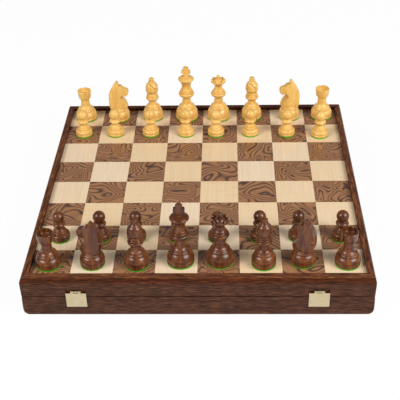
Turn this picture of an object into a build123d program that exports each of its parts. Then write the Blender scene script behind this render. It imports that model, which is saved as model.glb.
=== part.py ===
from build123d import *
from math import cos, radians
import os

os.makedirs("parts", exist_ok=True)

# A square wooden chess box: a hinged lid that carries the board, a lined tray below it,
# two brass flap latches in front, two brass butt hinges behind, and the 32 chessmen.
# Millimetres. X runs to the right, Y to the back, Z up. The origin is the underside's centre.

# ---- Driving dimensions ----
SQUARE = 48.0                # side of one board square
BOX_HALF = 200.0             # half of the box's width and depth
RIM_TOP = 53.0               # height of the rim over the table
BOARD_TOP = 48.5             # height of the playing surface
SEAM = 27.5                  # height of the joint between lid and tray
WALL_IN = 187.0              # inside face of the walls, from the centre
RIM_IN = 190.0               # inside edge of the rim round the board
BOARD_SHIFT = 2.0            # how far the squares sit towards the back
CORNER_R = 2.0               # upright corners, in plan
EASE = 0.4                   # broken edges along the seam
REVEAL_H = 1.1               # shadow gap along the seam, height and depth
REVEAL_D = 1.8
WAIST = 199.3                # the left and right sides draw in this far at the seam
ROOF_FLAT = 197.0            # where the rim's flat top ends and its round edge starts
ROOF_DROP = 10.5             # how far down the round edge reaches
ROOF_BULGE = 0.8             # how far the round edge swells past its chord
FOOT_IN = 8.6                # round bottom edge on the left and right, inwards and up
FOOT_UP = 10.0
FOOT_BULGE = 2.7
TOE = 0.8                    # broken bottom edge in front and behind
PANEL_T = 6.0                # board panel
GROOVE = 4.5                 # how deep the panel sits in the lid's rails
VENEER_T = 1.0               # board squares
BOTTOM_T = 5.0               # tray floor
FELT_T = 0.8                 # lining sheets
DIVIDER_T = 3.0
DIVIDER_TOP = 26.0
DIVIDERS_X = (-93.5, 0.0, 93.5)

LATCH_X = 137.0              # latch centres, left and right
LATCH_W = 23.4
LATCH_TOP = 32.7
LATCH_LOW = 13.0
LATCH_T = 1.2
LATCH_REST = 0.15            # how far the closed flap's back stays off the box's front
POCKET_DEPTH = 3.0           # pocket let into the lid's front for the latch's leaf and knuckles
POCKET_TOP = 37.2
POCKET_LOW = SEAM + 1.4
KNUCKLE_R = 1.3              # latch knuckles
KNUCKLE_Z = 34.2
KNUCKLE_SPAN = 11.6          # all three latch knuckles together
KNUCKLE_MID = 5.0            # the leaf's own knuckle, in the middle
LATCH_PIN_R = 0.6
LATCH_LEAF_T = 0.6
STRIKE_T = 0.8               # plate let in flush behind the flap
PLAY = 0.15                  # gap between parts that turn past each other
RUNNING = 0.04               # radial play of a hole that turns on a pin

HINGE_X = 125.0              # hinge centres, left and right
HINGE_W = 40.0
HINGE_AXIS = 203.0           # hinge pins, from the box's centre
HINGE_R = 2.5
HINGE_PIN_R = 1.0
LEAF_T = 1.2
LEAF_IN = 188.6              # inner edge of the hinge leaves
SCREW_HEAD_R = 2.0
SCREW_R = 0.9
SCREW_L = 7.0

PAD_T = 1.6                  # felt under a chessman
PAD_OVER = 0.1               # how far it shows past the wood


# ---- Outlines and solids ----
def outline(points):
    """Edges through (across, up, bulge) points: bulge is how far each stretch swells outwards."""
    edges = []
    for (x0, z0, bulge), (x1, z1, _) in zip(points, points[1:]):
        start, end = Vector(x0, 0, z0), Vector(x1, 0, z1)
        if bulge == 0:
            edges.append(Edge.make_line(start, end))
        else:
            run = end - start
            outwards = Vector(run.Z, 0, -run.X).normalized()
            edges.append(Edge.make_three_point_arc(start, (start + end) * 0.5 + outwards * bulge, end))
    return edges


def closed_face(points):
    first = points[0]
    return Face(Wire(outline(points + [(first[0], first[1], 0)])))


def both_sides(half):
    """Mirror the right half of an outline, from bottom to top, and join the two."""
    bulges = [0] + [bulge for _, _, bulge in half[:-1]]
    left = [(-x, z, bulge) for (x, z, _), bulge in zip(reversed(half), reversed(bulges))]
    return half + left


def turned(points):
    """A turned piece, from its outline between the axis at the bottom and the axis at the top."""
    return revolve(closed_face(points), axis=Axis.Z)


def block(x0, x1, y0, y1, z0, z1):
    """A box between two corners."""
    return Pos((x0 + x1) / 2, (y0 + y1) / 2, (z0 + z1) / 2) * Box(x1 - x0, y1 - y0, z1 - z0)


def rod(radius, length, centre):
    """A rod along X, centred on a point."""
    return Pos(*centre) * Rot(0, 90, 0) * Cylinder(radius, length)


def slab(half_x, half_y, z0, z1):
    return block(-half_x, half_x, -half_y, half_y, z0, z1)


def write(name, *solids):
    """Write one node, with its solids kept apart."""
    loose = [solid for shape in solids for solid in shape.solids()]
    whole = loose[0] if len(loose) == 1 else Compound(children=loose)
    whole.label = name
    export_step(whole, f"parts/{name}.step")


# ---- Box walls ----
def end_view(narrow):
    """Outside of the closed box between bottom and top: narrow is the half width at the seam."""
    tray = [
        (BOX_HALF - TOE, 0, 0), (BOX_HALF, TOE, 0), (narrow, SEAM - REVEAL_H - EASE, 0),
    ] if narrow == BOX_HALF else [
        (BOX_HALF - FOOT_IN, 0, FOOT_BULGE), (BOX_HALF, FOOT_UP, 0.1),
        (narrow, SEAM - REVEAL_H - EASE, 0),
    ]
    gap = [
        (narrow - EASE, SEAM - REVEAL_H, 0), (narrow - REVEAL_D, SEAM - REVEAL_H, 0),
        (narrow - REVEAL_D, SEAM, 0), (narrow - EASE, SEAM, 0), (narrow, SEAM + EASE, 0),
    ]
    lid = [(BOX_HALF, RIM_TOP - ROOF_DROP, ROOF_BULGE), (ROOF_FLAT, RIM_TOP, 0)]
    return closed_face(both_sides(tray + gap + lid))


def lid_rail_section():
    """Section of a lid rail, outwards from the box's centre, with the groove for the board."""
    groove_top = BOARD_TOP - VENEER_T
    groove_low = groove_top - PANEL_T
    return [
        (WALL_IN, SEAM, 0), (BOX_HALF, SEAM, 0), (BOX_HALF, RIM_TOP, 0), (RIM_IN, RIM_TOP, 0),
        (RIM_IN, groove_top, 0), (RIM_IN + GROOVE, groove_top, 0), (RIM_IN + GROOVE, groove_low, 0),
        (WALL_IN, groove_low, 0),
    ]


def tray_rail_section():
    """Section of a tray rail, with the rebate for the floor inside."""
    return [
        (RIM_IN, 0, 0), (BOX_HALF, 0, 0), (BOX_HALF, SEAM, 0), (WALL_IN, SEAM, 0),
        (WALL_IN, BOTTOM_T, 0), (RIM_IN, BOTTOM_T, 0),
    ]


def envelope():
    """The closed box's outside: its front outline and its side outline, where they meet."""
    front = extrude(end_view(WAIST), amount=BOX_HALF, dir=(0, 1, 0), both=True)
    side = Rot(0, 0, 90) * extrude(end_view(BOX_HALF), amount=BOX_HALF, dir=(0, 1, 0), both=True)
    plan = extrude(RectangleRounded(2 * BOX_HALF, 2 * BOX_HALF, CORNER_R), RIM_TOP)
    return front & side & plan


def rail(section, quarter_turns):
    """One mitred rail. No turns gives the right side, one the back, two the left, three the front."""
    bar = extrude(closed_face(section), amount=BOX_HALF, dir=(0, 1, 0), both=True)
    reach = BOX_HALF + 10
    mitre = extrude(make_face(Polyline((0, 0), (reach, -reach), (reach, reach), close=True)), RIM_TOP)
    return Rot(0, 0, 90 * quarter_turns) * (bar & mitre) & outside


def latch_pocket(x):
    """The pocket in the lid's front, behind and above the top of a flap."""
    half = LATCH_W / 2
    return block(x - half, x + half, -BOX_HALF - 1, -BOX_HALF + POCKET_DEPTH, POCKET_LOW, POCKET_TOP)


def strike_seat(x):
    """The shallow seat in the tray's front for a strike plate."""
    half = LATCH_W / 2 - 2
    return block(x - half, x + half, -BOX_HALF - 1, -BOX_HALF + STRIKE_T, LATCH_LOW + 2, SEAM - 3)


def hinge_seat(x, z0, z1):
    return block(x - HINGE_W / 2, x + HINGE_W / 2, LEAF_IN, BOX_HALF + 1, z0, z1)


# ---- Screws ----
def screw():
    """A countersunk screw, head up at the origin."""
    head = SCREW_HEAD_R - SCREW_R
    return turned([(0, -SCREW_L, 0), (SCREW_R, -SCREW_L + SCREW_R, 0), (SCREW_R, -head, 0),
                   (SCREW_HEAD_R, 0, 0), (0, 0, 0)])


def hinge_screws(direction):
    """Four screws of the two hinges: direction 1 goes up into the lid, -1 down into the tray."""
    tilt = Rot(180, 0, 0) if direction > 0 else Rot(0, 0, 0)
    middle = (LEAF_IN + BOX_HALF) / 2
    return [Pos(side * HINGE_X + step, middle, SEAM) * tilt * screw()
            for side in (-1, 1) for step in (-HINGE_W / 3, HINGE_W / 3)]


def leaf_screws():
    """Four screws of the two latch leaves, into the lid's front rail."""
    face = -BOX_HALF + POCKET_DEPTH - LATCH_LEAF_T
    return [Pos(side * LATCH_X + step, face, (POCKET_LOW + KNUCKLE_Z) / 2) * Rot(90, 0, 0) * screw()
            for side in (-1, 1) for step in (-LATCH_W / 3, LATCH_W / 3)]


def strike_screws():
    """Four screws of the two strike plates, into the tray's front rail."""
    height = (LATCH_LOW + 2 + SEAM - 3) / 2
    return [Pos(side * LATCH_X + step, -BOX_HALF, height) * Rot(90, 0, 0) * screw()
            for side in (-1, 1) for step in (-LATCH_W / 4, LATCH_W / 4)]


# ---- Hinges ----
def hinge_leaf(x, direction):
    """One hinge leaf: direction 1 is the lid's, with two knuckles, -1 the tray's, with three."""
    z0, z1 = (SEAM, SEAM + LEAF_T) if direction > 0 else (SEAM - LEAF_T, SEAM)
    leaf = block(x - HINGE_W / 2, x + HINGE_W / 2, LEAF_IN, BOX_HALF, z0, z1)
    pitch = HINGE_W / 5
    slots = (1, 3) if direction > 0 else (0, 2, 4)
    for slot in slots:
        middle = x - HINGE_W / 2 + pitch * (slot + 0.5)
        half = pitch / 2 - PLAY
        leaf += block(middle - half, middle + half, BOX_HALF - 1, HINGE_AXIS, z0, z1)
        leaf += rod(HINGE_R, 2 * half, (middle, HINGE_AXIS, SEAM))
    hole = HINGE_PIN_R + RUNNING if direction > 0 else HINGE_PIN_R
    return leaf - rod(hole, HINGE_W + 2, (x, HINGE_AXIS, SEAM))


# ---- Latches ----
LATCH_BACK = BOX_HALF + LATCH_REST
LATCH_FACE = LATCH_BACK + LATCH_T
LATCH_AXIS = LATCH_FACE - KNUCKLE_R


def latch_flap(x):
    """The swinging flap: a plain plate, and two knuckles brazed to its top edge."""
    plate = block(x - LATCH_W / 2, x + LATCH_W / 2, -LATCH_FACE, -LATCH_BACK, LATCH_LOW, LATCH_TOP)
    plate = chamfer(plate.faces().sort_by(Axis.Y)[0].edges(), 0.25)
    clear = KNUCKLE_MID / 2 + PLAY
    width = (KNUCKLE_SPAN - KNUCKLE_MID) / 2 - PLAY
    knuckles = []
    for side in (-1, 1):
        middle = x + side * (clear + width / 2)
        web = block(middle - width / 2, middle + width / 2, -LATCH_FACE, -LATCH_BACK, LATCH_TOP, KNUCKLE_Z)
        knuckle = rod(KNUCKLE_R, width, (middle, -LATCH_AXIS, KNUCKLE_Z)) + web
        below = block(middle - width, middle + width, -LATCH_FACE - 1, 1 - LATCH_AXIS + KNUCKLE_R,
                      LATCH_TOP - 5, LATCH_TOP)
        knuckles.append(knuckle - below - rod(LATCH_PIN_R + RUNNING, KNUCKLE_SPAN + 2,
                                              (x, -LATCH_AXIS, KNUCKLE_Z)))
    return plate, *knuckles


def latch_leaf(x):
    """The fixed leaf in the pocket, with the knuckle in the middle."""
    floor = -BOX_HALF + POCKET_DEPTH
    leaf = block(x - LATCH_W / 2 + 0.3, x + LATCH_W / 2 - 0.3, floor - LATCH_LEAF_T, floor,
                 POCKET_LOW + 0.2, KNUCKLE_Z + KNUCKLE_R)
    half = KNUCKLE_MID / 2
    leaf += rod(KNUCKLE_R, KNUCKLE_MID, (x, -LATCH_AXIS, KNUCKLE_Z))
    leaf += block(x - half, x + half, -LATCH_AXIS, floor, KNUCKLE_Z, KNUCKLE_Z + KNUCKLE_R)
    return leaf - rod(LATCH_PIN_R, KNUCKLE_MID + 2, (x, -LATCH_AXIS, KNUCKLE_Z))


def latch_strike(x):
    """The flush plate in the tray's front that the closed flap lies against."""
    half = LATCH_W / 2 - 2
    return block(x - half, x + half, -BOX_HALF, -BOX_HALF + STRIKE_T, LATCH_LOW + 2, SEAM - 3)


# ---- Board and tray ----
def squares(parity):
    """The 32 squares of one colour, cut to the rim's opening."""
    cut = []
    for column in range(8):
        for row in range(8):
            if (column + row) % 2 != parity:
                continue
            x0 = (column - 4) * SQUARE
            y1 = (4 - row) * SQUARE + BOARD_SHIFT
            cut.append(block(max(x0, -RIM_IN), min(x0 + SQUARE, RIM_IN),
                             max(y1 - SQUARE, -RIM_IN), min(y1, RIM_IN),
                             BOARD_TOP - VENEER_T, BOARD_TOP))
    return cut


def long_divider(low):
    """The divider from left to right, slotted from above for the ones that cross it."""
    half_t = DIVIDER_T / 2
    middle = (low + DIVIDER_TOP) / 2
    divider = block(-WALL_IN, WALL_IN, -half_t, half_t, low, DIVIDER_TOP)
    for x in DIVIDERS_X:
        divider -= block(x - half_t, x + half_t, -half_t, half_t, middle, DIVIDER_TOP)
    return divider


def cross_divider(x, low):
    half_t = DIVIDER_T / 2
    middle = (low + DIVIDER_TOP) / 2
    divider = block(x - half_t, x + half_t, -WALL_IN, WALL_IN, low, DIVIDER_TOP)
    return divider - block(x - half_t, x + half_t, -half_t, half_t, low, middle)


# ---- Chessmen, each standing on Z = 0 on its felt ----
def foot(radius, ledge_r, ledge_z):
    """Outline of a foot: lip, groove, dome and ledge, from the axis up to the ledge's top."""
    lip = 2.6
    return [
        (0, PAD_T, 0), (radius - 0.5, PAD_T, 0.4), (radius - 0.4, PAD_T + lip, -0.25),
        (radius - 0.5, PAD_T + lip + 0.9, 1.4), (ledge_r + 0.4, ledge_z - 4.2, -0.4),
        (ledge_r, ledge_z - 2.9, 0.3), (ledge_r - 0.2, ledge_z - 1.5, -0.3), (ledge_r - 0.8, ledge_z, -0.1),
    ]


def collar(neck_r, disc_r, top_r, z, rise):
    """Outline of a collar: a flared underside, the wide ring, and two smaller rings on it."""
    second = disc_r - (disc_r - top_r) * 0.36
    third = disc_r - (disc_r - top_r) * 0.7
    return [
        (neck_r, z, -0.45), (disc_r - 1.3, z + rise * 0.16, 0.3), (disc_r, z + rise * 0.3, 0.5),
        (disc_r - 0.7, z + rise * 0.5, 0), (second - 0.8, z + rise * 0.53, 0),
        (second - 0.1, z + rise * 0.58, 0.35), (second - 0.6, z + rise * 0.72, 0),
        (third - 0.6, z + rise * 0.75, 0), (third, z + rise * 0.79, 0.3),
        (third - 0.4, z + rise * 0.88, -0.1), (top_r, z + rise, 0),
    ]


def pad(radius):
    return Pos(0, 0, PAD_T / 2) * Cylinder(radius - 0.5 + PAD_OVER, PAD_T)


def pawn():
    radius, head_r, head_z = 11.6, 7.4, 31.1
    body = turned(
        foot(radius, 8.2, 13.6)
        + [(6.3, 14.4, -0.9), (4.7, 18.0, 0), (4.8, 18.8, 0.2), (7.0, 20.4, 0.7), (7.1, 22.8, 0.3),
           (5.3, 24.2, 0), (4.9, 25.9, 0), (0, 25.9, 0)]
    )
    return body + Pos(0, 0, head_z) * Sphere(head_r), pad(radius)


def rook():
    radius = 14.8
    wall_z, top_z, floor_z = 35.2, 45.0, 39.6
    body = turned(
        foot(radius, 11.2, 17.6)
        + [(9.7, 18.2, -1.2), (6.4, 25.4, -0.1), (6.1, 31.4, -0.3), (8.2, 34.0, 0.2), (8.8, wall_z, 0.2),
           (9.6, top_z - 0.5, 0), (9.2, top_z, 0), (8.1, top_z, 0), (7.4, floor_z + 1.2, -0.3),
           (6.4, floor_z, 0), (0, floor_z + 0.3, 0)]
    )
    notch = Pos(0, 0, top_z) * Rot(90, 0, 0) * extrude(
        make_face(Polyline((-1.2, 0.5), (0, -2.1), (1.2, 0.5), close=True)), 11, both=True)
    for turn in (0, 90):
        body -= Rot(0, 0, turn) * notch
    return body, pad(radius)


def bishop():
    radius = 14.3
    body = turned(
        foot(radius, 10.5, 19.8)
        + [(9.3, 20.4, -0.9), (5.9, 25.4, -0.2)]
        + collar(5.2, 9.0, 6.6, 28.8, 12.0)
        + [(6.9, 41.2, 1.1), (8.8, 48.2, 1.1), (5.5, 55.9, 0.2), (3.6, 57.9, 0), (3.4, 58.1, 0),
           (4.0, 58.7, 0.3), (3.5, 59.4, -0.1), (3.6, 62.2, 0.3), (2.8, 63.3, 0), (0, 63.5, 0)]
    )
    cut = Pos(2.2, -8.4, 52.6) * Rot(0, 42, 0) * Box(12.5, 8.0, 0.9)
    return body - cut, pad(radius)


def queen():
    radius = 16.1
    knobs = 8
    rim_z = 61.0
    body = turned(
        foot(radius, 11.6, 20.4)
        + [(10.0, 21.0, -1.3), (6.4, 28.6, -0.2)]
        + collar(5.5, 10.5, 6.0, 34.2, 12.8)
        + [(5.4, 49.6, -0.5), (6.0, 52.2, -0.3), (10.4, 57.4, 0.5), (9.4, rim_z, 0.3), (8.0, rim_z - 0.2, 0),
           (6.9, 57.4, 0.9), (2.4, 61.8, 0), (0, 61.8, 0)]
    )
    gap = Rot(0, 90, 0) * Cylinder(1.9, 7, align=(Align.CENTER, Align.CENTER, Align.MIN))
    for index in range(knobs):
        body -= Rot(0, 0, (index + 0.5) * 360 / knobs) * Pos(6.4, 0, rim_z - 0.3) * gap
    return body + Pos(0, 0, 64.4) * Sphere(2.8), pad(radius)


def king():
    radius = 16.1
    arms_z = 72.6
    body = turned(
        foot(radius, 11.6, 20.4)
        + [(10.0, 21.0, -1.1), (6.3, 27.8, -0.2)]
        + collar(5.8, 10.8, 7.0, 34.0, 13.6)
        + [(6.5, 51.2, -1.0), (10.9, 61.0, 0.5), (10.3, 63.2, 0.7), (3.6, 65.4, -0.4), (3.0, 66.6, 0),
           (0, 66.6, 0)]
    )
    flare = closed_face(both_sides([
        (4.9, 64.6, -1.0), (2.9, arms_z - 3.2, -0.3), (6.1, arms_z - 2.6, 0.5), (6.1, arms_z + 2.4, 0),
        (3.4, arms_z + 2.8, -0.3), (4.1, arms_z + 5.4, 2.6),
    ]))
    cross = extrude(flare, amount=2.1, dir=(0, 1, 0), both=True)
    return body + cross, pad(radius)


def prism(half_plan, z0, z1):
    """An upright block from the left half of its plan, from front to back."""
    ring = half_plan + [(x, -y) for x, y in reversed(half_plan)]
    return Pos(0, 0, z0) * extrude(make_face(Polyline(*ring, close=True)), z1 - z0)


def knight():
    """The knight's head faces +X: its side outline, narrowed in front view and in plan."""
    radius = 14.5
    seat = 19.2
    throat = 34.4
    stand = turned(foot(radius, 11.2, 19.0) + [(10.0, 19.5, 0), (0, 19.5, 0)])
    side = closed_face([
        (11.0, seat, 0.4), (13.6, 21.8, 0.3), (13.0, 23.6, 0), (2.8, 34.6, -0.3), (4.2, 37.2, -0.2),
        (6.5, 39.3, 0), (8.6, 39.0, 0.1), (10.8, 38.2, 0.4), (13.4, 39.8, 0.4), (14.9, 42.8, 0.3),
        (14.7, 46.2, 0.5), (12.6, 48.6, 0), (8.0, 49.7, -0.3), (4.4, 52.8, 0.3), (2.4, 53.3, 0),
        (1.2, 52.8, -0.3), (0.6, 56.8, 0.3), (-1.2, 59.8, 0.4), (-4.2, 56.6, 0.3), (-8.0, 50.6, 0.3),
        (-11.6, 43.6, 0.3), (-13.4, 36.0, 0.3), (-13.4, 28.0, 0.4), (-11.0, seat, 0),
    ])
    head = extrude(side, amount=12, dir=(0, 1, 0), both=True)
    front = closed_face(both_sides([
        (9.2, seat, 0.3), (8.2, 27.0, 0), (7.0, 36.0, 0), (5.6, 45.0, 0), (4.3, 54.0, 0), (2.4, 60.0, 0),
    ]))
    head &= Rot(0, 0, 90) * extrude(front, amount=20, dir=(0, 1, 0), both=True)
    chest = [(14.2, 1.0), (9.7, 7.0), (3.0, 9.4), (-8.0, 9.4), (-12.0, 7.2), (-14.4, 2.4)]
    cheeks = [(15.4, 2.2), (13.4, 3.9), (8.0, 5.0), (3.0, 7.6), (-6.0, 8.6), (-11.2, 6.6), (-14.4, 2.4)]
    head &= prism(chest, seat - 1, throat) + prism(cheeks, throat, 62)
    ears = Pos(-0.6, 0, 60.6) * Rot(90, 0, 90) * extrude(
        make_face(Polyline((-1.7, 0.8), (0, -4.6), (1.7, 0.8), close=True)), 6, both=True)
    head -= ears
    for flank in (-1, 1):
        head -= Pos(0.6, flank * 6.2, 48.2) * Sphere(1.6)
        head -= Pos(12.4, flank * 4.6, 44.6) * Sphere(1.2)
        head -= Pos(12.0, flank * 4.6, 41.0) * Rot(0, 24, 0) * Box(4.6, 3.4, 0.7)
        for lock in range(4):
            lean = 34 + 14 * lock
            head -= (Pos(-8.8 - 1.2 * min(lock, 2), flank * (6.4 + 0.7 * lock), 48.4 - 7.0 * lock)
                     * Rot(0, lean, 0) * Rot(45, 0, 0) * Box(7.6, 1.5, 1.5))
    return stand + head, pad(radius)


# ---- Where the chessmen stand: file order, and how each stands off its square, in mm and degrees ----
BACK_RANK = ("rook_left", "knight_left", "bishop_left", "king", "queen", "bishop_right", "knight_right", "rook_right")
MAKERS = {"rook": rook, "knight": knight, "bishop": bishop, "king": king, "queen": queen, "pawn": pawn}
STANDING = {
    "light_rook_left": (-1.0, -0.5, 20), "light_knight_left": (-0.6, -2.0, -8),
    "light_bishop_left": (-0.4, 0.0, 0), "light_king": (0.5, 0.0, 0), "light_queen": (-2.0, 0.0, 0),
    "light_bishop_right": (-2.6, 0.0, 0), "light_knight_right": (3.2, -0.5, 190),
    "light_rook_right": (1.3, 0.5, 8),
    "dark_rook_left": (-2.5, -2.1, 35), "dark_knight_left": (0.0, -1.0, 168),
    "dark_bishop_left": (3.0, -2.6, 180), "dark_king": (4.7, 2.8, 0), "dark_queen": (1.8, 3.4, 0),
    "dark_bishop_right": (3.3, -2.0, 180), "dark_knight_right": (0.2, 2.0, 155),
    "dark_rook_right": (2.2, -0.8, 60),
    "light_pawn_1": (1.3, 0.4, 0), "light_pawn_2": (-2.2, 1.4, 0), "light_pawn_3": (-0.9, 0.8, 0),
    "light_pawn_4": (0.5, 0.8, 0), "light_pawn_5": (-5.3, -0.6, 0), "light_pawn_6": (-5.6, 0.6, 0),
    "light_pawn_7": (-3.0, -1.2, 0), "light_pawn_8": (-5.4, -5.2, 0),
    "dark_pawn_1": (4.0, -1.2, 0), "dark_pawn_2": (4.0, -0.7, 0), "dark_pawn_3": (-1.4, -1.0, 0),
    "dark_pawn_4": (-0.2, -1.0, 0), "dark_pawn_5": (-1.4, -1.9, 0), "dark_pawn_6": (-0.2, -1.0, 0),
    "dark_pawn_7": (-2.9, -0.5, 0), "dark_pawn_8": (0.1, -1.0, 0),
}


def stand_man(name, kind, column, row):
    """Set one chessman on its square. Columns count from the left, rows from the back."""
    off_x, off_y, turn = STANDING[name]
    x = (column - 3.5) * SQUARE + off_x
    y = (3.5 - row) * SQUARE + BOARD_SHIFT + off_y
    place = Pos(x, y, BOARD_TOP) * Rot(0, 0, turn)
    write(name, *(place * piece for piece in shapes[kind]))


# ---- Write every node ----
outside = envelope()
pockets = [latch_pocket(side * LATCH_X) for side in (-1, 1)]
strike_seats = [strike_seat(side * LATCH_X) for side in (-1, 1)]
lid_seats = [hinge_seat(side * HINGE_X, SEAM, SEAM + LEAF_T) for side in (-1, 1)]
tray_seats = [hinge_seat(side * HINGE_X, SEAM - LEAF_T, SEAM) for side in (-1, 1)]
lid_hinge_screws, tray_hinge_screws = hinge_screws(1), hinge_screws(-1)
lid_latch_screws, tray_latch_screws = leaf_screws(), strike_screws()

write("lid_rail_right", rail(lid_rail_section(), 0))
write("lid_rail_back", rail(lid_rail_section(), 1) - lid_seats - lid_hinge_screws)
write("lid_rail_left", rail(lid_rail_section(), 2))
write("lid_rail_front", rail(lid_rail_section(), 3) - pockets - lid_latch_screws)
write("tray_rail_right", rail(tray_rail_section(), 0))
write("tray_rail_back", rail(tray_rail_section(), 1) - tray_seats - tray_hinge_screws)
write("tray_rail_left", rail(tray_rail_section(), 2))
write("tray_rail_front", rail(tray_rail_section(), 3) - strike_seats - tray_latch_screws)

panel_top = BOARD_TOP - VENEER_T
panel_half = RIM_IN + GROOVE
write("board_panel", slab(panel_half, panel_half, panel_top - PANEL_T, panel_top))
write("light_squares", *squares(0))
write("dark_squares", *squares(1))
write("lid_lining", slab(WALL_IN, WALL_IN, panel_top - PANEL_T - FELT_T, panel_top - PANEL_T))

floor_top = BOTTOM_T + FELT_T
write("tray_floor", slab(RIM_IN, RIM_IN, 0, BOTTOM_T))
write("tray_lining", slab(WALL_IN, WALL_IN, BOTTOM_T, floor_top))
write("long_divider", long_divider(floor_top))
write("cross_dividers", *(cross_divider(x, floor_top) for x in DIVIDERS_X))

for side, end in ((-1, "left"), (1, "right")):
    write(f"hinge_leaf_lid_{end}", hinge_leaf(side * HINGE_X, 1) - lid_hinge_screws)
    write(f"hinge_leaf_tray_{end}", hinge_leaf(side * HINGE_X, -1) - tray_hinge_screws)
    write(f"latch_flap_{end}", *latch_flap(side * LATCH_X))
write("hinge_pins", *(rod(HINGE_PIN_R, HINGE_W, (side * HINGE_X, HINGE_AXIS, SEAM)) for side in (-1, 1)))
write("latch_leaves", *(latch_leaf(side * LATCH_X) - lid_latch_screws for side in (-1, 1)))
write("latch_pins", *(rod(LATCH_PIN_R, KNUCKLE_SPAN, (side * LATCH_X, -LATCH_AXIS, KNUCKLE_Z)) for side in (-1, 1)))
write("latch_strikes", *(latch_strike(side * LATCH_X) - tray_latch_screws for side in (-1, 1)))
write("lid_screws", *lid_hinge_screws, *lid_latch_screws)
write("tray_screws", *tray_hinge_screws, *tray_latch_screws)

shapes = {kind: maker() for kind, maker in MAKERS.items()}
for colour, rank_row, pawn_row in (("light", 0, 1), ("dark", 7, 6)):
    for column, man in enumerate(BACK_RANK):
        stand_man(f"{colour}_{man}", man.split("_")[0], column, rank_row)
        stand_man(f"{colour}_pawn_{column + 1}", "pawn", column, pawn_row)
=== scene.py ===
"""The looks of the chess box: its woods, brass and felt, the studio light and the camera."""

import math

import bpy
from mathutils import Matrix, Vector


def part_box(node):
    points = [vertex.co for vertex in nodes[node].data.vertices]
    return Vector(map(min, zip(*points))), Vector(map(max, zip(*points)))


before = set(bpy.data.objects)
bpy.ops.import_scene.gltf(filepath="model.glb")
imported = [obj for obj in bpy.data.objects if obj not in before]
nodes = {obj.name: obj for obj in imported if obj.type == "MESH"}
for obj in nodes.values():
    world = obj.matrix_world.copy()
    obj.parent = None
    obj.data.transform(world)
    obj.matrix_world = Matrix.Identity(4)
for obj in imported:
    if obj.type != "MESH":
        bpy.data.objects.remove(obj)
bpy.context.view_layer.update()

# The box, in metres.
SQUARE = 0.048                              # side of one square of the board
BOARD_SHIFT = 0.002                         # the squares lie this far behind the box's middle
BOARD_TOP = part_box("light_squares")[1].z    # height of the playing surface
RIM_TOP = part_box("lid_rail_front")[1].z     # height of the rim
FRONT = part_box("lid_rail_front")[0].y       # where the front of the box lies
PAD = 0.0016                                # thickness of the felt under each man

# The photographer's place, fitted to the inner corners of the squares in the photograph.
CAMERA_AZIMUTH = 2.142                      # degrees to the right of straight in front
CAMERA_ELEVATION = 34.776                   # degrees over the table
CAMERA_ROLL = -1.4535                       # degrees
CAMERA_DISTANCE = 23.798                    # in squares, from the point it looks at
CAMERA_AIM = (-0.0034, -0.8812, 0)          # that point, in squares from the board's middle
LENS = 81.83                                # mm, before a sensor of this width
SENSOR = 36.0

# The studio.
FLOOR_HALF = 6.0                            # half of the floor's width, in metres
FLOOR_GLOW = 0.96                           # how much of the floor that is seen is plain white
WORLD_LIGHT = 0.24                          # strength of the pale surroundings on the object
LAMP_DISTANCE = 2.0                         # of the softboxes from the board, in metres

WHITE = (1, 1, 1, 1)


def tone(red, green, blue):
    """A shader colour from the 0 to 255 values that the eye reads in a picture."""
    shares = [value / 255 for value in (red, green, blue)]
    linear = [s / 12.92 if s <= 0.04045 else ((s + 0.055) / 1.055) ** 2.4 for s in shares]
    return (*linear, 1.0)


def direction(azimuth, elevation):
    """The way from the board to a place at these degrees, counted from straight in front."""
    turn = math.radians(azimuth)
    rise = math.radians(elevation)
    return Vector((math.sin(turn) * math.cos(rise), -math.cos(turn) * math.cos(rise),
                   math.sin(rise)))


# ---------------------------------------------------------------- material building

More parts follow.
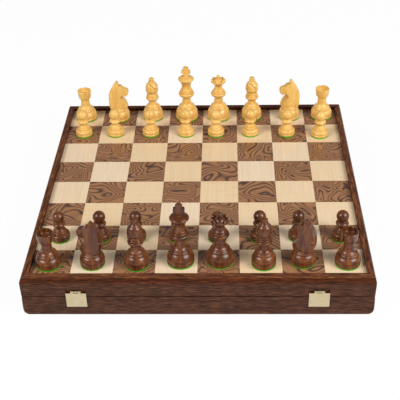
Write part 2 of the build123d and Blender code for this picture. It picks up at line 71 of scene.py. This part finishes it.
class Finish:
    """A material, with short names for the nodes that its look is built from."""

    def __init__(self, name, **fixed):
        self.material = bpy.data.materials.new(name)
        self.material.use_nodes = True
        self.tree = self.material.node_tree
        self.surface = self.tree.nodes["Principled BSDF"]
        self.set(**fixed)

    def put(self, socket, value):
        """Links a socket to another, gives it a fixed value, or skips it for None."""
        if isinstance(value, bpy.types.NodeSocket):
            self.tree.links.new(value, socket)
        elif value is not None:
            socket.default_value = value

    def set(self, **sockets):
        """Feeds the sockets of the surface."""
        for name, value in sockets.items():
            self.put(self.surface.inputs[name.replace("_", " ")], value)

    def node(self, kind, *inputs, **settings):
        """Adds a node, its settings by name and its inputs in order."""
        node = self.tree.nodes.new("ShaderNode" + kind)
        for setting, value in settings.items():
            setattr(node, setting, value)
        for socket, value in zip(node.inputs, inputs):
            self.put(socket, value)
        return node

    def place(self):
        """Where the point lies on the object, in metres."""
        return self.node("TexCoord").outputs["Object"]

    def along(self, place, axis):
        """One coordinate of a place: 0 across the box, 1 towards its back, 2 up."""
        return self.node("SeparateXYZ", place).outputs[axis]

    def arithmetic(self, operation, first, second=0.0):
        return self.node("Math", first, second, operation=operation).outputs[0]

    def vector(self, operation, first, second=None):
        return self.node("VectorMath", first, second, operation=operation).outputs[0]

    def noise(self, vector, scale=1.0, detail=2.0, roughness=0.5, distortion=0.0):
        """Smooth noise, with a value and a colour at each place."""
        node = self.node("TexNoise")
        for name, value in (("Vector", vector), ("Scale", scale), ("Detail", detail),
                            ("Roughness", roughness), ("Distortion", distortion)):
            self.put(node.inputs[name], value)
        return node.outputs

    def flecks(self, vector, **settings):
        """The value of smooth noise that is the same size every way."""
        return self.noise(vector, **settings)[0]

    def streaks(self, vector, waves, **settings):
        """The value of noise with so many waves a metre along each axis."""
        return self.noise(self.vector("MULTIPLY", vector, waves), **settings)[0]

    def ramp(self, factor, *stops):
        """A colour picked along stops of (position, colour)."""
        node = self.node("ValToRGB", factor)
        points = node.color_ramp.elements
        while len(points) < len(stops):
            points.new(0.5)
        for point, (position, colour) in zip(points, stops):
            point.position = position
            point.color = colour
        return node.outputs[0]

    def reach(self, value, low, high, start=0.0, end=1.0):
        """Stretches low to high over start to end, and holds the ends."""
        return self.node("MapRange", value, low, high, start, end, clamp=True).outputs[0]

    def mix(self, factor, first, second, mode="MIX"):
        node = self.node("Mix", data_type="RGBA", blend_type=mode)
        for socket, value in ((0, factor), (6, first), (7, second)):
            self.put(node.inputs[socket], value)
        return node.outputs[2]

    def stained(self, body, colour, pattern, low, high, amount=1.0):
        """Mixes a colour in, from none to this amount, as the pattern goes from low to high."""
        return self.mix(self.reach(pattern, low, high, 0.0, amount), body, colour)

    def bump(self, height, strength, depth):
        node = self.node("Bump")
        for name, value in (("Height", height), ("Strength", strength), ("Distance", depth)):
            self.put(node.inputs[name], value)
        self.set(Normal=node.outputs[0])

    def by_square(self, place, seed, apart):
        """Chance numbers that hold all over one square of the board, and the place moved by
        them, up to this many metres, so that each square is cut from another spot."""
        moved = self.vector("SUBTRACT", place, (0.0, BOARD_SHIFT, 0.0))
        counted = self.vector("MULTIPLY", moved, (1 / SQUARE, 1 / SQUARE, 0.0))
        corner = self.vector("FLOOR", counted)
        seeded = self.vector("ADD", corner, (0.5, 0.5, seed))
        chance = self.node("TexWhiteNoise", seeded).outputs
        jump = self.vector("MULTIPLY", chance["Color"], (apart, apart, apart))
        return chance["Value"], self.vector("ADD", place, jump)


# ---------------------------------------------------------------- the woods

def frame_wood(name, broad, short, fine):
    """Dark open-grained wood of the rails, with three sizes of streaks along the rail, painted
    shade on the rim above the board and painted light on its flat top.
    """
    wood = Finish(name, IOR=1.22)
    place = wood.place()
    bands = wood.streaks(place, broad, detail=3, roughness=0.6, distortion=0.3)
    pores = wood.streaks(place, short, detail=3, roughness=0.65, distortion=0.1)
    fibres = wood.streaks(place, fine, detail=3, roughness=0.7)
    body = wood.ramp(bands, (0.3, tone(64, 37, 27)), (0.5, tone(84, 51, 36)),
                     (0.7, tone(100, 62, 43)))
    body = wood.stained(body, tone(42, 24, 18), pores, 0.46, 0.64)
    body = wood.stained(body, tone(128, 82, 54), pores, 0.44, 0.3, 0.8)
    body = wood.stained(body, tone(48, 28, 20), fibres, 0.5, 0.7, 0.6)

    height = wood.along(place, 2)
    painted_rim_shade = (0.86, 0.56, 0.25, 1)      # painted shade: the rim above the board, its round edge and inner faces, darker and redder
    painted_top_light = (1.8, 1.62, 1.3, 1)         # painted light: paler on the rim's flat top
    # Painted shade over the rim above the board, then painted light on its flat top, multiplied
    # into the wood.
    painted_shade_and_light = wood.stained(WHITE, painted_rim_shade, height, BOARD_TOP - 0.006, BOARD_TOP)
    painted_shade_and_light = wood.stained(painted_shade_and_light, painted_top_light, height, RIM_TOP - 0.0016, RIM_TOP - 0.0004)
    wood.set(Base_Color=wood.mix(1.0, body, painted_shade_and_light, "MULTIPLY"))
    wood.set(Roughness=wood.reach(fibres, 0.3, 0.7, 0.36, 0.55))
    wood.bump(fibres, 0.25, 0.0002)
    return wood.material


def maple():
    """Pale maple veneer under clear lacquer, some squares with honey-coloured streaks."""
    wood = Finish("maple", Roughness=0.14, IOR=1.45)
    chance, place = wood.by_square(wood.place(), 3.0, 2.0)
    ribs = wood.streaks(place, (620, 12, 0), detail=2, roughness=0.6)
    veil = wood.streaks(place, (22, 170, 0), detail=3, distortion=0.4)
    body = wood.ramp(chance, (0.1, tone(236, 209, 168)), (0.5, tone(239, 215, 182)),
                     (0.9, tone(240, 219, 190)))
    body = wood.stained(body, tone(222, 184, 138), ribs, 0.35, 0.7, 0.5)
    some = wood.reach(chance, 0.05, 0.5, 0.5, 0.0)
    honey = wood.arithmetic("MULTIPLY", wood.reach(veil, 0.54, 0.72), some)
    wood.set(Base_Color=wood.mix(honey, body, tone(228, 176, 112)))
    return wood.material


def burl():
    """Brown veneer with dark lines like the contours of a map, under the same lacquer."""
    contours = 14.0                     # lines over the whole range of the hills
    wood = Finish("burl", Roughness=0.14, IOR=1.45)
    chance, place = wood.by_square(wood.place(), 7.0, 3.0)
    sway = wood.noise(place, scale=30, detail=0)["Color"]
    swayed = wood.vector("ADD", place, wood.vector("MULTIPLY", sway, (0.03, 0.03, 0.0)))
    hills = wood.flecks(swayed, scale=wood.reach(chance, 0, 1, 26, 52), detail=0.6,
                        roughness=0.3)
    rings = wood.arithmetic("FRACT", wood.arithmetic("MULTIPLY", hills, contours))
    body = wood.ramp(rings, (0.0, tone(76, 54, 46)), (0.12, tone(80, 58, 50)),
                     (0.28, tone(150, 105, 72)), (0.6, tone(168, 120, 82)),
                     (0.88, tone(156, 110, 76)), (1.0, tone(82, 59, 50)))
    pores = wood.flecks(place, scale=900, detail=2)
    body = wood.stained(body, tone(118, 80, 52), pores, 0.5, 0.8, 0.3)
    clouds = wood.flecks(place, scale=60, detail=1)
    wood.set(Base_Color=wood.stained(body, tone(122, 84, 58), clouds, 0.5, 0.8, 0.4))
    return wood.material


def turned_wood(name, light, middle, dark, streak, gloss, painted_head_shade):
    """The polished wood of the men, with painted shade towards their heads, on their green felt
    pads.
    """
    wood = Finish(name, IOR=1.5)
    place = wood.place()
    grain = wood.streaks(place, (150, 150, 20), detail=3, roughness=0.6, distortion=0.8)
    fibres = wood.streaks(place, (900, 900, 60), detail=2)
    body = wood.ramp(grain, (0.3, dark), (0.5, middle), (0.68, light))
    body = wood.stained(body, streak, fibres, 0.5, 0.75, 0.4)
    # Painted shade: from 14 to 30 mm over the board the wood is darkened by the painted head
    # shade colour.
    height = wood.along(place, 2)
    with_painted_shade = wood.mix(1.0, body, painted_head_shade, "MULTIPLY")
    body = wood.stained(body, with_painted_shade, height, BOARD_TOP + 0.014, BOARD_TOP + 0.03)

    nap = wood.flecks(place, scale=1500, detail=2)
    felt = wood.ramp(nap, (0.3, tone(48, 132, 4)), (0.7, tone(92, 190, 10)))
    padded = wood.arithmetic("LESS_THAN", height, BOARD_TOP + PAD)
    wood.set(Base_Color=wood.mix(padded, body, felt))
    wood.set(Roughness=wood.reach(padded, 0, 1, gloss, 0.95))
    return wood.material


def plain_wood(name, dark, light):
    """The wood of the panels and the dividers, oiled and dull."""
    wood = Finish(name, Roughness=0.55, IOR=1.45)
    place = wood.place()
    grain = wood.streaks(place, (14, 160, 160), detail=4, distortion=0.5)
    fibres = wood.streaks(place, (60, 900, 900), detail=2)
    body = wood.ramp(grain, (0.3, dark), (0.7, light))
    wood.set(Base_Color=wood.stained(body, dark, fibres, 0.4, 0.8, 0.5))
    wood.bump(fibres, 0.2, 0.0002)
    return wood.material


# ---------------------------------------------------------------- felt and brass

def lining_felt():
    """Bottle-green felt inside the box, matted and without shine."""
    felt = Finish("lining_felt", Roughness=0.97, Sheen_Weight=0.25, Sheen_Roughness=0.5)
    place = felt.place()
    nap = felt.flecks(place, scale=1300, detail=3, roughness=0.7)
    worn = felt.flecks(place, scale=35, detail=2)
    body = felt.ramp(nap, (0.3, tone(18, 52, 26)), (0.7, tone(40, 86, 46)))
    felt.set(Base_Color=felt.stained(body, tone(48, 92, 56), worn, 0.4, 0.8, 0.4))
    felt.bump(nap, 0.6, 0.0004)
    return felt.material


def brass():
    """Pale satin brass, brushed along the box. From a little behind the front of the box it is
    dull brown and hardly
    metallic, painted shade: in the latches' pockets and at the hinges."""
    unshaded_depth = 0.0012               # from the front: the last of the pale, unshaded brass
    painted_shade_depth = 0.0018                # and the first that is wholly dull brown, painted shade
    metal = Finish("brass")
    place = metal.place()
    brushed = metal.streaks(place, (90, 1600, 1600), detail=3, roughness=0.6)
    clouds = metal.flecks(place, scale=140, detail=2)
    body = metal.ramp(brushed, (0.3, tone(204, 186, 146)), (0.7, tone(219, 204, 170)))
    body = metal.stained(body, tone(198, 178, 136), clouds, 0.4, 0.8, 0.4)
    # Painted shade: behind the front, the brass is drawn dull brown and almost not metallic.
    depth = metal.along(place, 1)
    unshaded = metal.reach(depth, FRONT + unshaded_depth, FRONT + painted_shade_depth, 1, 0)
    metal.set(Base_Color=metal.mix(unshaded, tone(128, 76, 34), body))
    metal.set(Metallic=metal.reach(unshaded, 0, 1, 0.2, 1))
    metal.set(Roughness=metal.reach(clouds, 0.3, 0.7, 0.3, 0.42))
    metal.bump(brushed, 0.15, 0.0001)
    return metal.material


# ---------------------------------------------------------------- dressing the pieces

def dress(material, *names):
    """Gives a material to the pieces of these names."""
    for name in names:
        piece = nodes[name]
        piece.data.materials.clear()
        piece.data.materials.append(material)


def soften(piece):
    """Rounds the edges of a carved piece as sanding and lacquer do."""
    skin = piece.modifiers.new("skin", "REMESH")
    skin.mode = "VOXEL"
    skin.voxel_size = 0.0003
    skin.use_smooth_shade = True
    sanded = piece.modifiers.new("sanded", "SMOOTH")
    sanded.factor = 0.5
    sanded.iterations = 3


# Waves a metre of the streaks: few along the rail, many across it.
across = frame_wood("frame_wood_across", (16, 170, 170), (75, 800, 800), (140, 1400, 1400))
deep = frame_wood("frame_wood_deep", (170, 16, 170), (800, 75, 800), (1400, 140, 1400))
panel = plain_wood("panel_wood", tone(70, 42, 26), tone(122, 84, 54))
# The last colour of each is the painted shade on the men's upper parts; the pale men have none.
boxwood = turned_wood("boxwood", tone(242, 200, 118), tone(235, 187, 100), tone(223, 168, 78),
                      tone(212, 153, 66), 0.24, WHITE)
sheesham = turned_wood("sheesham", tone(136, 80, 38), tone(106, 56, 24), tone(68, 33, 11),
                       tone(52, 24, 8), 0.26, (0.78, 0.73, 0.64, 1))
felt = lining_felt()
gilt = brass()

for half in ("lid", "tray"):
    dress(across, half + "_rail_front", half + "_rail_back")
    dress(deep, half + "_rail_left", half + "_rail_right")
dress(panel, "board_panel", "tray_floor", "long_divider", "cross_dividers")
dress(maple(), "light_squares")
dress(burl(), "dark_squares")
dress(felt, "lid_lining", "tray_lining")
for name in nodes:
    if name.startswith(("hinge_", "latch_")) or name.endswith("_screws"):
        dress(gilt, name)
    elif name.startswith("light_") and name != "light_squares":
        dress(boxwood, name)
    elif name.startswith("dark_") and name != "dark_squares":
        dress(sheesham, name)
    if "knight" in name or "queen" in name:
        soften(nodes[name])


# ---------------------------------------------------------------- floor, light and camera

def floor():
    """A wide white floor that keeps the shadow of the box."""
    corners = [(x * FLOOR_HALF, y * FLOOR_HALF, 0)
               for x, y in ((-1, -1), (1, -1), (1, 1), (-1, 1))]
    mesh = bpy.data.meshes.new("floor")
    mesh.from_pydata(corners, [], [(0, 1, 2, 3)])
    ground = bpy.data.objects.new("floor", mesh)
    bpy.context.scene.collection.objects.link(ground)

    paper = Finish("paper", Base_Color=(0.9, 0.9, 0.9, 1), Roughness=0.9)
    ways = paper.node("LightPath").outputs
    seen = paper.arithmetic("MAXIMUM", ways["Is Camera Ray"], ways["Is Glossy Ray"])
    seen = paper.arithmetic("MAXIMUM", seen, ways["Is Transmission Ray"])
    glow = paper.node("Emission", WHITE, 1.0)
    share = paper.arithmetic("MULTIPLY", seen, FLOOR_GLOW)
    blend = paper.node("MixShader", share, paper.surface.outputs[0], glow.outputs[0])
    paper.put(paper.tree.nodes["Material Output"].inputs[0], blend.outputs[0])
    mesh.materials.append(paper.material)


def softbox(name, side, power, azimuth, elevation):
    """A square soft lamp that points at the board."""
    lamp = bpy.data.lights.new(name, "AREA")
    lamp.shape = "SQUARE"
    lamp.size = side
    lamp.energy = power
    box = bpy.data.objects.new(name, lamp)
    bpy.context.scene.collection.objects.link(box)
    way = direction(azimuth, elevation)
    box.location = way * LAMP_DISTANCE + Vector((0, 0, BOARD_TOP))
    box.rotation_mode = "QUATERNION"
    box.rotation_quaternion = way.to_track_quat("Z", "Y")


def studio():
    """Pale even surroundings, white where they are seen, and a softbox on either side."""
    world = bpy.data.worlds.new("studio")
    bpy.context.scene.world = world
    world.use_nodes = True
    tree = world.node_tree
    sky = tree.nodes["Background"].inputs
    sky["Color"].default_value = WHITE
    seen = tree.nodes.new("ShaderNodeLightPath").outputs["Is Camera Ray"]
    strength = tree.nodes.new("ShaderNodeMapRange")
    strength.inputs["To Min"].default_value = WORLD_LIGHT
    strength.inputs["To Max"].default_value = 1.0
    tree.links.new(seen, strength.inputs["Value"])
    tree.links.new(strength.outputs[0], sky["Strength"])
    softbox("softbox_right", 1.15, 33, 55, 36)
    softbox("softbox_left", 0.85, 22, -55, 38)


def camera():
    """The photographer's place, looking a little in front of the board's middle."""
    target = Vector((0, BOARD_SHIFT, BOARD_TOP)) + Vector(CAMERA_AIM) * SQUARE
    back = direction(CAMERA_AZIMUTH, CAMERA_ELEVATION)
    level = (-back).cross(Vector((0, 0, 1))).normalized()
    upright = level.cross(-back)
    roll = math.radians(CAMERA_ROLL)
    right = level * math.cos(roll) + upright * math.sin(roll)
    up = upright * math.cos(roll) - level * math.sin(roll)
    turn = Matrix((right, up, back)).transposed().to_4x4()

    lens = bpy.data.cameras.new("camera")
    lens.sensor_width = SENSOR
    lens.lens = LENS
    lens.clip_start = 0.01
    lens.clip_end = 50.0
    eye = bpy.data.objects.new("camera", lens)
    bpy.context.scene.collection.objects.link(eye)
    eye.matrix_world = Matrix.Translation(target + back * CAMERA_DISTANCE * SQUARE) @ turn
    bpy.context.scene.camera = eye


floor()
studio()
camera()
bpy.context.scene.view_settings.view_transform = "Standard"
